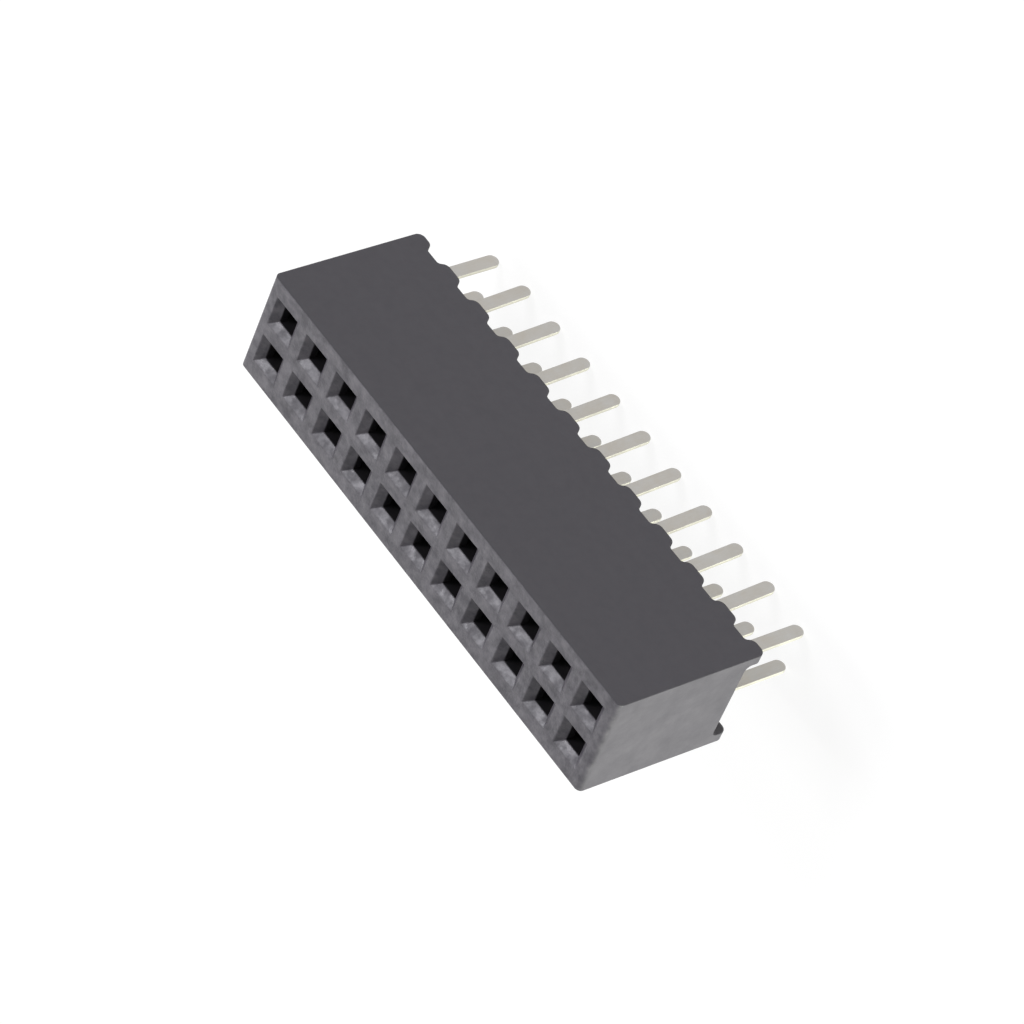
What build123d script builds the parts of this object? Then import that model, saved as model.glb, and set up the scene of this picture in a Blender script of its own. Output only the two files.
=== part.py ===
from build123d import *
from math import radians, tan
import os

# Socket header with two rows of sockets, in millimetres.
# X runs along the rows, Y across them, and Z from the board up to the mating face.
# The origin is the middle of the board seat, where the feet of the two rails touch the board.

# Contact grid
pitch = 2.54
columns = 11
row_spacing = 2.54

# Housing
end_margin = 1.60          # from the last contact to the end face
row_margin = 1.77          # from each row to the long face beside it
body_height = 8.89         # from the board seat to the mating face
end_round = 0.30           # between each end face and the mating face
channel_depth = 0.97       # open channel between the two rails
channel_corner = 0.36
rail_thickness = 0.53
window_floor = 0.96        # flat of the gap between two feet of a rail, opposite each contact
window_flank = 0.20        # run of each sloping side of that gap
window_depth = 0.42
window_round = 0.24        # where a sloping side meets the flat
foot_round = 0.42          # where a sloping side meets the foot
end_foot_round = 0.38      # under each end face

# Socket opening and cavity
mouth_width = 1.82
throat_width = 1.04
funnel_depth = 0.36
throat_length = 0.45       # straight wall below the funnel
pocket_chamfer = 0.08      # lead-in where the contact is pushed in from the board side

# Contact, stamped and folded from one strip
strip = 0.22
box_width = 1.44           # over the two folded side walls
box_depth = 1.35           # from the back wall to the front edges of the side walls
box_front = 0.60           # from the socket's axis to those front edges
box_height = 1.60
fold_round = 0.32
side_clearance = 0.03      # between the box and its pocket, all round
barb_length = 0.50
barb_clearance = 0.005
beam_root_width = 0.68
beam_tip_width = 0.46
beam_bend = 0.70
pinch_gap = 0.46           # rest gap between the two beams where they grip the pin
flare_spread = 0.20
flare_height = 0.50
tip_clearance = 0.35       # from the beams' tips up to the throat
tail_width = 0.76
tail_reach = 4.28          # below the board seat
jog_rise = 0.25            # from the channel's floor to the step in the tail
jog_height = 0.70
jog_bend = 0.25
jog_landing = 0.12         # upright stretch between the step and the box
splay_angle = 4.0          # inner tails of the front row lean outward and hold in the board

# Worked out from the sizes above
span = (columns - 1) * pitch
body_length = span + 2 * end_margin
body_width = row_spacing + 2 * row_margin
funnel_run = (mouth_width - throat_width) / 2
throat_base = body_height - funnel_depth - throat_length
jog_base = channel_depth + jog_rise
box_base = jog_base + jog_height + jog_landing
box_top = box_base + box_height
back_centre = box_front - box_depth + strip / 2
side_centre = box_width / 2 - strip / 2
pocket_width = box_width + 2 * side_clearance
pocket_depth = box_depth + 2 * side_clearance
pocket_centre = box_front - box_depth / 2


def column_x(column):
    """Middle of a column, counted from 1 at the +X end."""
    return span / 2 - (column - 1) * pitch


def at_height(sketch, height):
    """The outline's corners that lie at one height, from its left end to its right."""
    level = [v for v in sketch.vertices() if abs(v.Y - height) < window_round / 10]
    return ShapeList(level).sort_by(Axis.X)


def body_block():
    """The moulding's outer form: its section across the rows, within its toothed side outline."""
    section = Pos(0, body_height / 2) * Rectangle(body_width, body_height)
    channel_width = body_width - 2 * rail_thickness
    section -= Pos(0, channel_depth / 2) * Rectangle(channel_width, channel_depth)
    section = fillet(at_height(section, channel_depth), channel_corner)

    side = Pos(0, body_height / 2) * Rectangle(body_length, body_height)
    half_floor = window_floor / 2
    half_open = half_floor + window_flank
    window = make_face(Polyline(
        (-half_open, 0),
        (half_open, 0),
        (half_floor, window_depth),
        (-half_floor, window_depth),
        close=True,
    ))
    for column in range(1, columns + 1):
        side -= Pos(column_x(column), 0) * window
    level = at_height(side, 0)
    side = fillet([level[0], level[-1]], end_foot_round)
    side = fillet(at_height(side, 0)[1:-1], foot_round)
    side = fillet(at_height(side, window_depth), window_round)
    side = fillet(at_height(side, body_height), end_round)

    along = extrude(Plane.YZ * section, amount=body_length / 2, both=True)
    across = extrude(Plane.XZ * side, amount=body_width / 2, both=True)
    return along & across


def upright(width, depth, low, high, y=0.0):
    """A block on the socket's axis between two heights."""
    return Pos(0, y, (low + high) / 2) * Box(width, depth, high - low)


def frustum(width, depth, inset, height):
    """A four-sided hopper that stands on its wide end and narrows by the inset on every side."""
    wedge = Wedge(
        width, height, depth, inset, inset, width - inset, depth - inset,
        align=(Align.CENTER, Align.MIN, Align.CENTER),
    )
    return Rot(90, 0, 0) * wedge


def cavity():
    """Everything that one position takes out of the moulding, about the socket's axis."""
    funnel_base = body_height - funnel_depth
    funnel = frustum(mouth_width, mouth_width, funnel_run, funnel_depth)
    funnel = Pos(0, 0, body_height) * Rot(180, 0, 0) * funnel
    bore = upright(throat_width, throat_width, box_top, funnel_base)
    chamber = upright(pocket_width, throat_width, box_top, throat_base)
    pocket = upright(pocket_width, pocket_depth, channel_depth, box_top, pocket_centre)
    lead_width = pocket_width + 2 * pocket_chamfer
    lead_depth = pocket_depth + 2 * pocket_chamfer
    lead = frustum(lead_width, lead_depth, pocket_chamfer, pocket_chamfer)
    return funnel + bore + chamber + pocket + Pos(0, pocket_centre, channel_depth) * lead


def folded_box():
    """The box seen from above: a back wall and two side walls, folded from one strip."""
    outer = Pos(0, pocket_centre) * Rectangle(box_width, box_depth)
    outer = fillet(outer.vertices().group_by(Axis.Y)[0], fold_round)
    inner_depth = box_depth - strip
    inner = Pos(0, box_front - inner_depth / 2) * Rectangle(box_width - 2 * strip, inner_depth)
    return Pos(0, 0, box_base) * extrude(outer - inner, amount=box_height)


def tail(splay):
    """The round-ended solder tail and its step back to the box's back wall."""
    drop = tail_reach + strip
    lean = (jog_base + drop) * tan(radians(splay))
    tip = (-lean, -drop)
    knee = (0, jog_base)
    heel = (back_centre, jog_base + jog_height)
    root = (back_centre, box_base + strip)
    route = FilletPolyline(tip, knee, heel, root, radius=jog_bend)
    ribbon = extrude(Plane.YZ * trace(route, strip), amount=tail_width / 2, both=True)
    tip_centre = tail_width / 2 - tail_reach
    outline = Pos(0, tip_centre) * Circle(tail_width / 2)
    outline += Pos(0, (tip_centre + box_top) / 2) * Rectangle(tail_width, box_top - tip_centre)
    return ribbon & extrude(Plane.XZ * outline, amount=body_width, both=True)


def beam():
    """One spring beam, leaning in from a side wall to grip the pin, then flaring out."""
    grip_centre = pinch_gap / 2 + strip / 2
    tip_height = throat_base - tip_clearance
    foot = (side_centre, box_top - strip)
    grip = (grip_centre, tip_height - flare_height)
    tip = (grip_centre + flare_spread, tip_height)
    route = FilletPolyline(foot, grip, tip, radius=beam_bend)
    ribbon = extrude(Plane.XZ * trace(route, strip), amount=beam_root_width / 2, both=True)
    half_root = beam_root_width / 2
    half_tip = beam_tip_width / 2
    taper = Polyline(
        (-half_root, box_base),
        (half_root, box_base),
        (half_root, box_top),
        (half_tip, throat_base),
        (-half_tip, throat_base),
        (-half_root, box_top),
        close=True,
    )
    return ribbon & extrude(Plane.YZ * make_face(taper), amount=box_width, both=True)


def barb():
    """A small wedge on the front edge of a side wall, which bites into the pocket."""
    reach = box_width / 2 + side_clearance - barb_clearance
    low = box_base + (box_height - barb_length) / 2
    wedge = Polyline(
        (side_centre, low),
        (reach, low),
        (box_width / 2, low + barb_length),
        (side_centre, low + barb_length),
        close=True,
    )
    solid = extrude(Plane.XZ * make_face(wedge), amount=strip / 2, both=True)
    return Pos(0, box_front - strip / 2, 0) * solid


def contact(splay):
    """One contact about its socket's axis, with its back wall toward -Y."""
    side = beam() + barb()
    return folded_box() + tail(splay) + side + mirror(side, about=Plane.YZ)


def row_places():
    """Row letter, column and place of every socket. The back row is turned half round."""
    places = []
    for letter, side, turn in (("a", -1, 0), ("b", 1, 180)):
        for column in range(1, columns + 1):
            place = Location((column_x(column), side * row_spacing / 2, 0), (0, 0, turn))
            places.append((letter, column, place))
    return places


def housing():
    """The one-piece moulding with all its cavities."""
    hollow = cavity()
    return body_block() - [place * hollow for _, _, place in row_places()]


def main():
    os.makedirs("parts", exist_ok=True)
    export_step(housing(), "parts/housing.step")
    straight = contact(0.0)
    splayed = contact(splay_angle)
    for letter, column, place in row_places():
        inner = 1 < column < columns
        form = splayed if letter == "a" and inner else straight
        export_step(place * form, f"parts/contact_{letter}{column:02d}.step")


main()
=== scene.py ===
import math

import bmesh
import bpy
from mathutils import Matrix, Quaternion, Vector


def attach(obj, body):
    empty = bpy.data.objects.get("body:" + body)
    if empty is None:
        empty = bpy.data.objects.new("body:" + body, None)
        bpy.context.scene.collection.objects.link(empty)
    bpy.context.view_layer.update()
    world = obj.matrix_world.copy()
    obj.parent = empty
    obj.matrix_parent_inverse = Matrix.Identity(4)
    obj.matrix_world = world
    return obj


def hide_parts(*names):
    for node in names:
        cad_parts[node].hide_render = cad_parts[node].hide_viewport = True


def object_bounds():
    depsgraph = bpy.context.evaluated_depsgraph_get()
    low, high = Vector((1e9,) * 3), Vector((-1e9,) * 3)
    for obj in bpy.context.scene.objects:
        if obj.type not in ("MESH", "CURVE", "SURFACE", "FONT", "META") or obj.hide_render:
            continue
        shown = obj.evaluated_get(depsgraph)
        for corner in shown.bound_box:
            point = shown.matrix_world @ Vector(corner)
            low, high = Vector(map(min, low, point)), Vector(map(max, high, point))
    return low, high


# A socket header on a pale floor. Everything is in metres, in the row frame:
# X along the rows, Y across them, Z from the board up to the mating face.
MM = 0.001

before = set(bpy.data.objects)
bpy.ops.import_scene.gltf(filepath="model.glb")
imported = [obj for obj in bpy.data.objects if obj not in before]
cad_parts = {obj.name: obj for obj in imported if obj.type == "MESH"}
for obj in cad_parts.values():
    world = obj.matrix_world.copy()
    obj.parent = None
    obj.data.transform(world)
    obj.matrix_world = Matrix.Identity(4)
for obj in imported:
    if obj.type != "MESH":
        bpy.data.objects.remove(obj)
cad_low, cad_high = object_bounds()

# Softness of the moulding's edges. It is in the shader only, because the housing is the CAD mesh.
BODY_EDGE = 0.112 * MM
MOUTH_EDGE = 0.104 * MM
FOOT_EDGE = 0.048 * MM         # more than the body's, at the feet
EDGE_SAMPLES = 8

# Softness of the sheared strip's edges, in its geometry.
CONTACT_EDGE = 0.045 * MM
EDGE_STEPS = 2
SHARP_ABOVE = math.radians(30)
FLAT_WITHIN = math.radians(0.5)        # facets that differ by less are joined
SAME_POINT = 1e-7                      # points nearer than this are joined

# Zones of the moulding, in millimetres, from where each begins to where it is full.
FACE = cad_high.z / MM         # height of the mating face
SOCKETS_X = (13.70, 13.80)     # past the mouths, from the middle
SOCKETS_Y = (2.25, 2.35)
FUNNEL = (0.0, 0.05)           # depth below the face
THROAT = (0.33, 0.41)
CAVITY = (1.02, 1.27)          # height above the board, over the channel between the rails
BODY = (0.42, 0.52)            # and over the feet

# Parts of a unit normal that count as facing up or facing an end, or as a sheared edge.
UPWARD = (0.3, 0.6)
ENDWARD = (0.5, 0.8)
SIDEWAYS = (0.6, 0.9)

# Noise patterns: cycles per millimetre, octaves and roughness. A stretch over 1 packs a pattern
# closer along that axis, and one under 1 draws it out.
CLOUDS = (0.9, 4, 0.6)
BLOTCHES = (2.0, 4, 0.6)
GRAIN = (14, 3, 0.6)
FLOW = (0.8, 3, 0.5)
FLOW_STRETCH = (0.25, 1.0, 1.6)
SHEEN = (0.38, 2, 0.5)
SHEEN_STRETCH = (1.0, 1.0, 0.8)
STAINS = (1.1, 3, 0.6)
LINES = (2.0, 3, 0.6)
LINE_STRETCH = (9, 9, 0.5)
SOFT = (0.3, 0.7)              # a pattern's range, taken for a soft contrast
STRONG = (0.38, 0.62)          # and for a strong one

# Shares in which patterns are mixed.
SHADE_MIX = (0.51, 0.34, 0.15)         # clouds, flow and grain, all over the moulding
MOTTLE_MIX = (0.6, 0.4)                # clouds and blotches, on the mating face
TIN_MIX = (0.7, 0.3)                   # stains and lines, on the contacts

# Colours, as linear values. Each pair is the dark and the light end of a pattern, as factors.
WHITE = (1, 1, 1)
PLASTIC = (0.0725, 0.0675, 0.0800)
PLASTIC_TONES = ((0.95, 0.95, 0.95), (1.05, 1.05, 1.05))
FACE_TONES = ((0.55, 0.545, 0.58), (1.45, 1.46, 1.41))
END_TONES = ((0.86, 0.86, 0.87), (1.16, 1.16, 1.14))
# Painted shade: the colour in the bores below the throats is darkened to this share of the
# plastic, standing in for their shadow.
PAINTED_BORE_SHADE = (0.15, 0.15, 0.15)
PLATING = (0.478, 0.457, 0.432)
PLATING_TONES = ((0.93, 0.91, 0.86), (1.03, 1.06, 1.09))
SHEARED = (0.64, 0.62, 0.54)   # narrow edges of the strip

# Gloss. Each pair is the low and the high end of a pattern.
PLASTIC_SPECULAR = 0.44
PLASTIC_ROUGHNESS = (0.545, 0.455)
FUNNEL_POLISH = (0.07, 0.16)   # taken off the roughness in the funnels
END_POLISH = (-0.04, 0.04)     # and on the ends
PLATING_ROUGHNESS = (0.42, 0.56)

# Relief: height and strength.
GRAIN_RELIEF = (0.004 * MM, 0.5)
LINE_RELIEF = (0.003 * MM, 0.5)
BLOTCH_HEIGHT = 0.07 * MM
BLOTCH_STRENGTH = (0.8, 0.4)   # on the mating face and in the funnels

# Floor and surroundings, as greys.
FLOOR_REACH = 3.0              # from its middle to its sides
FLOOR_CELLS = 8
FLOOR_BOUNCE = 0.35            # what it gives back to the object
FLOOR_SHADED = 0.16            # the part of its seen white that takes the shadow
FLOOR_WHITE = 0.90             # and the part that glows
AMBIENT = 0.10                 # the even light on the object

# What the lamps point at.
BODY_MIDDLE = (0, 0, 0.004)
END_MIDDLE = (0, 0, 0.006)

# The camera, fitted to the housing's corners in the photograph.
SENSOR_WIDTH = 36.0
LENS = 192.27
LENS_SHIFT = (-0.0005, 0.0005)
CLIP = (0.01, 20.0)
CAMERA_PLACE = (-0.1131681, -0.1762335, 0.1542238)
CAMERA_TURN = (-0.298197, -0.360276, -0.280116, 0.838340)


def placed(name, data):
    """A new object in the scene."""
    thing = bpy.data.objects.new(name, data)
    bpy.context.scene.collection.objects.link(thing)
    return thing


# Geometry

def refined(node, edge, material):
    """A finer copy of a CAD node: facets joined, edges softly rounded, curved walls smooth."""
    bm = bmesh.new()
    bm.from_mesh(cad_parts[node].data)
    bmesh.ops.remove_doubles(bm, verts=bm.verts[:], dist=SAME_POINT)
    bmesh.ops.dissolve_limit(
        bm, angle_limit=FLAT_WITHIN, verts=bm.verts[:], edges=bm.edges[:],
    )
    mesh = bpy.data.meshes.new(node + "_form")
    bm.to_mesh(mesh)
    bm.free()
    mesh.materials.append(material)
    mesh.shade_smooth()
    mesh.set_sharp_from_angle(angle=SHARP_ABOVE)
    piece = placed(node + "_form", mesh)
    bevel = piece.modifiers.new("soft_edges", "BEVEL")
    bevel.width = edge
    bevel.segments = EDGE_STEPS
    bevel.limit_method = "ANGLE"
    bevel.angle_limit = SHARP_ABOVE
    bevel.use_clamp_overlap = False
    bevel.harden_normals = True
    bevel.miter_outer = "MITER_ARC"
    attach(piece, "root")
    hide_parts(node)


# Nodes of a material

def new_material(name):
    """A node material, its tree and its shader."""
    material = bpy.data.materials.new(name)
    material.use_nodes = True
    tree = material.node_tree
    return material, tree, tree.nodes["Principled BSDF"]


def fill(tree, node, inputs):
    """Links or sets a node's inputs, each by its name or number, and gives the node back."""
    for key, value in inputs.items():
        if isinstance(value, bpy.types.NodeSocket):
            tree.links.new(value, node.inputs[key])
        else:
            node.inputs[key].default_value = value
    return node


def opaque(colour):
    """A colour with its fourth value."""
    return (*colour, 1)


def toned(colour, tone):
    """A colour times a factor for each of its values."""
    return tuple(c * t for c, t in zip(colour, tone))


def scaled_place(tree, stretch=(1, 1, 1)):
    """Object coordinates in millimetres, times the stretch along each axis."""
    place = tree.nodes.new("ShaderNodeTexCoord").outputs["Object"]
    node = tree.nodes.new("ShaderNodeVectorMath")
    node.operation = "MULTIPLY"
    fill(tree, node, {0: place, 1: [s / MM for s in stretch]})
    return node.outputs["Vector"]


def split(tree, vector):
    """A vector's three values, by name or in order."""
    node = fill(tree, tree.nodes.new("ShaderNodeSeparateXYZ"), {"Vector": vector})
    return node.outputs


def noise(tree, vector, scale, detail, roughness):
    """A cloudy pattern about 0.5."""
    node = fill(tree, tree.nodes.new("ShaderNodeTexNoise"), {
        "Vector": vector, "Scale": scale, "Detail": detail, "Roughness": roughness,
    })
    return node.outputs["Fac"]


def maths(tree, operation, a, b=0.0):
    """One calculation on one or two values, each linked or given."""
    node = tree.nodes.new("ShaderNodeMath")
    node.operation = operation
    fill(tree, node, {0: a, 1: b})
    return node.outputs["Value"]


def product(tree, *values):
    """Several values multiplied."""
    result = values[0]
    for value in values[1:]:
        result = maths(tree, "MULTIPLY", result, value)
    return result


def mixed(tree, weights, *values):
    """The sum of several values, each times its own weight."""
    terms = [maths(tree, "MULTIPLY", value, weight) for value, weight in zip(values, weights)]
    total = terms[0]
    for term in terms[1:]:
        total = maths(tree, "ADD", total, term)
    return total


def spread(tree, value, source, target):
    """A value's source range stretched over the target range, and held at its ends."""
    node = fill(tree, tree.nodes.new("ShaderNodeMapRange"), {
        "Value": value,
        "From Min": source[0], "From Max": source[1],
        "To Min": target[0], "To Max": target[1],
    })
    return node.outputs["Result"]


def rise(tree, value, source):
    """0 up to the start of the range, and 1 from its end."""
    return spread(tree, value, source, (0.0, 1.0))


def between(tree, share, target):
    """The target's first value where the share is 0, and its second where it is 1."""
    return spread(tree, share, (0.0, 1.0), target)


def inverse(tree, share):
    """What is left of a share."""
    return maths(tree, "SUBTRACT", 1.0, share)


def blended(tree, share, under, over, blend="MIX"):
    """One colour under another, each linked or given."""
    node = tree.nodes.new("ShaderNodeMix")
    node.data_type = "RGBA"
    node.blend_type = blend
    fill(tree, node, {"Factor": share, "A": under, "B": over})
    return node.outputs["Result"]


def tinted(tree, shade, colours):
    """The first colour where the shade is 0, and the second where it is 1."""
    dark, light = colours
    return blended(tree, shade, opaque(dark), opaque(light))


def soft_edges(tree, radius):
    """Normals that turn softly round the edges."""
    node = tree.nodes.new("ShaderNodeBevel")
    node.samples = EDGE_SAMPLES
    fill(tree, node, {"Radius": radius})
    return node.outputs["Normal"]


def bump(tree, height, distance, strength, normal=None):
    """Normals that follow a height, on top of others if those are given."""
    node = fill(tree, tree.nodes.new("ShaderNodeBump"), {
        "Height": height, "Distance": distance, "Strength": strength,
    })
    if normal is not None:
        fill(tree, node, {"Normal": normal})
    return node.outputs["Normal"]


# Materials

def socket_zones(tree, place):
    """Shares of a point about the mouths, in the funnels and in the bores below them; the bores'
    share carries painted shade.
    """
    x, y, z = split(tree, place)
    near_x = inverse(tree, rise(tree, maths(tree, "ABSOLUTE", x), SOCKETS_X))
    near_y = inverse(tree, rise(tree, maths(tree, "ABSOLUTE", y), SOCKETS_Y))
    depth = maths(tree, "SUBTRACT", FACE, z)
    sunk = rise(tree, depth, FUNNEL)
    deep = rise(tree, depth, THROAT)
    over_channel = rise(tree, z, CAVITY)
    mouth = product(tree, near_x, near_y, inverse(tree, deep))
    funnel = product(tree, mouth, sunk)
    painted_bore_shade = product(tree, near_x, near_y, deep, over_channel)
    return mouth, funnel, painted_bore_shade


def plastic():
    """Dark grey glass-filled moulding: flat sides, a cloudy mating face, smoother funnels, and
    painted shade darkening the bores.
    """
    material, tree, shader = new_material("moulded_plastic")
    place = scaled_place(tree)
    mouth, funnel, painted_bore_shade = socket_zones(tree, place)
    foot = inverse(tree, rise(tree, split(tree, place)["Z"], BODY))
    facing = split(tree, tree.nodes.new("ShaderNodeNewGeometry").outputs["Normal"])
    upward = rise(tree, facing["Z"], UPWARD)
    endward = rise(tree, maths(tree, "ABSOLUTE", facing["X"]), ENDWARD)

    clouds = noise(tree, place, *CLOUDS)
    blotches = noise(tree, place, *BLOTCHES)
    grain = noise(tree, place, *GRAIN)
    flow = noise(tree, scaled_place(tree, FLOW_STRETCH), *FLOW)
    sheen = noise(tree, scaled_place(tree, SHEEN_STRETCH), *SHEEN)

    shade = rise(tree, mixed(tree, SHADE_MIX, clouds, flow, grain), SOFT)
    plain = tinted(tree, shade, [toned(PLASTIC, tone) for tone in PLASTIC_TONES])
    mottle = rise(tree, mixed(tree, MOTTLE_MIX, clouds, blotches), STRONG)
    mottled = blended(tree, upward, plain, tinted(tree, mottle, FACE_TONES), "MULTIPLY")
    faded = tinted(tree, rise(tree, clouds, SOFT), END_TONES)
    clouded = blended(tree, endward, mottled, faded, "MULTIPLY")
    # Painted shade: the bores below the throats are darkened in the colour itself, as if in
    # shadow.
    colour = blended(tree, painted_bore_shade, clouded, opaque(toned(PLASTIC, PAINTED_BORE_SHADE)))

    matte = spread(tree, blotches, STRONG, PLASTIC_ROUGHNESS)
    polished = product(tree, funnel, spread(tree, blotches, STRONG, FUNNEL_POLISH))
    rubbed = product(tree, endward, spread(tree, sheen, STRONG, END_POLISH))
    smoother = maths(tree, "ADD", polished, rubbed)

    body_edge = between(tree, mouth, (BODY_EDGE, MOUTH_EDGE))
    foot_edge = between(tree, foot, (0.0, FOOT_EDGE))
    edges = soft_edges(tree, maths(tree, "ADD", body_edge, foot_edge))
    grained = bump(tree, grain, *GRAIN_RELIEF, edges)
    unevenness = product(tree, upward, between(tree, funnel, BLOTCH_STRENGTH))

    fill(tree, shader, {
        "Base Color": colour,
        "Roughness": maths(tree, "SUBTRACT", matte, smoother),
        "Specular IOR Level": PLASTIC_SPECULAR,
        "Normal": bump(tree, blotches, BLOTCH_HEIGHT, unevenness, grained),
    })
    return material


def plating():
    """Matte tin over copper alloy, brighter on the sheared edges, with the strip's fine lines."""
    material, tree, shader = new_material("tin_plating")
    stains = noise(tree, scaled_place(tree), *STAINS)
    lines = noise(tree, scaled_place(tree, LINE_STRETCH), *LINES)
    shade = rise(tree, mixed(tree, TIN_MIX, stains, lines), SOFT)
    rolled = tinted(tree, shade, [toned(PLATING, tone) for tone in PLATING_TONES])
    facing = split(tree, tree.nodes.new("ShaderNodeNewGeometry").outputs["True Normal"])
    cut = rise(tree, maths(tree, "ABSOLUTE", facing["X"]), SIDEWAYS)
    fill(tree, shader, {
        "Base Color": blended(tree, cut, rolled, opaque(SHEARED)),
        "Metallic": 1.0,
        "Roughness": spread(tree, stains, SOFT, PLATING_ROUGHNESS),
        "Normal": bump(tree, lines, *LINE_RELIEF),
    })
    return material


# Surroundings

def seen_directly(tree):
    """1 where the camera, a reflection or a see-through surface looks at it, else 0."""
    path = tree.nodes.new("ShaderNodeLightPath")
    either = maths(tree, "MAXIMUM", path.outputs["Is Camera Ray"], path.outputs["Is Glossy Ray"])
    return maths(tree, "MAXIMUM", either, path.outputs["Is Transmission Ray"])


def diffuse(tree, grey):
    """A plain matte shader."""
    node = tree.nodes.new("ShaderNodeBsdfDiffuse")
    return fill(tree, node, {"Color": opaque([grey] * 3)}).outputs["BSDF"]


def floor(height):
    """A wide pale floor that keeps the object's shadow."""
    bm = bmesh.new()
    bmesh.ops.create_grid(bm, x_segments=FLOOR_CELLS, y_segments=FLOOR_CELLS, size=FLOOR_REACH)
    bmesh.ops.translate(bm, verts=bm.verts[:], vec=(0, 0, height))
    mesh = bpy.data.meshes.new("floor")
    bm.to_mesh(mesh)
    bm.free()
    material, tree, shader = new_material("pale_floor")
    tree.nodes.remove(shader)
    glow = fill(tree, tree.nodes.new("ShaderNodeEmission"), {
        "Color": opaque([FLOOR_WHITE] * 3), "Strength": 1.0,
    })
    pale = fill(tree, tree.nodes.new("ShaderNodeAddShader"), {
        0: diffuse(tree, FLOOR_SHADED), 1: glow.outputs["Emission"],
    })
    surface = fill(tree, tree.nodes.new("ShaderNodeMixShader"), {
        "Fac": seen_directly(tree), 1: diffuse(tree, FLOOR_BOUNCE), 2: pale.outputs["Shader"],
    })
    fill(tree, tree.nodes["Material Output"], {"Surface": surface.outputs["Shader"]})
    mesh.materials.append(material)
    ground = placed("floor", mesh)


def surroundings():
    """White where it is seen, and a soft even light elsewhere."""
    world = bpy.data.worlds.new("studio")
    bpy.context.scene.world = world
    world.use_nodes = True
    tree = world.node_tree
    fill(tree, tree.nodes["Background"], {
        "Color": opaque(WHITE),
        "Strength": between(tree, seen_directly(tree), (AMBIENT, 1.0)),
    })


def lamp(name, direction, distance, size, level, target=BODY_MIDDLE, tint=WHITE):
    """A soft rectangular lamp. It lights the target to about that share of a plain level."""
    light = bpy.data.lights.new(name, "AREA")
    light.color = tint
    light.shape = "RECTANGLE"
    light.size, light.size_y = size
    light.energy = level * math.pi * math.pi * distance * distance
    thing = placed(name, light)
    towards = Vector(direction).normalized()
    thing.location = Vector(target) + towards * distance
    thing.rotation_mode = "QUATERNION"
    thing.rotation_quaternion = (-towards).to_track_quat("-Z", "Y")
    thing.visible_camera = False


def viewpoint():
    """The camera, where the photograph was taken from."""
    data = bpy.data.cameras.new("camera")
    data.sensor_width = SENSOR_WIDTH
    data.lens = LENS
    data.shift_x, data.shift_y = LENS_SHIFT
    data.clip_start, data.clip_end = CLIP
    camera = placed("camera", data)
    camera.location = CAMERA_PLACE
    camera.rotation_mode = "QUATERNION"
    camera.rotation_quaternion = Quaternion(CAMERA_TURN)
    bpy.context.scene.camera = camera


bpy.context.scene.view_settings.view_transform = "Standard"
viewpoint()
surroundings()
floor(cad_low.z)

# The first three stand where the mating face and the funnels mirror them to the camera.
lamp("key", direction=(0.43, -0.53, 0.73), distance=0.45, size=(0.15, 0.15), level=0.39,
     tint=(0.99, 0.98, 1.04))
lamp("top", direction=(0.44, -0.03, 0.89), distance=0.45, size=(0.15, 0.15), level=0.44)
lamp("sheen", direction=(0.50, 0.67, 0.56), distance=0.45, size=(0.25, 0.25), level=0.17)
lamp("end_fill", direction=(-1.0, -0.05, 0.0), distance=0.35, size=(0.20, 0.02), level=1.93,
     target=END_MIDDLE, tint=(1.0, 1.05, 0.93))

housing_material = plastic()
contact_material = plating()
for node in sorted(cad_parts):
    if node == "housing":
        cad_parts[node].material_slots[0].material = housing_material
    else:
        refined(node, CONTACT_EDGE, contact_material)
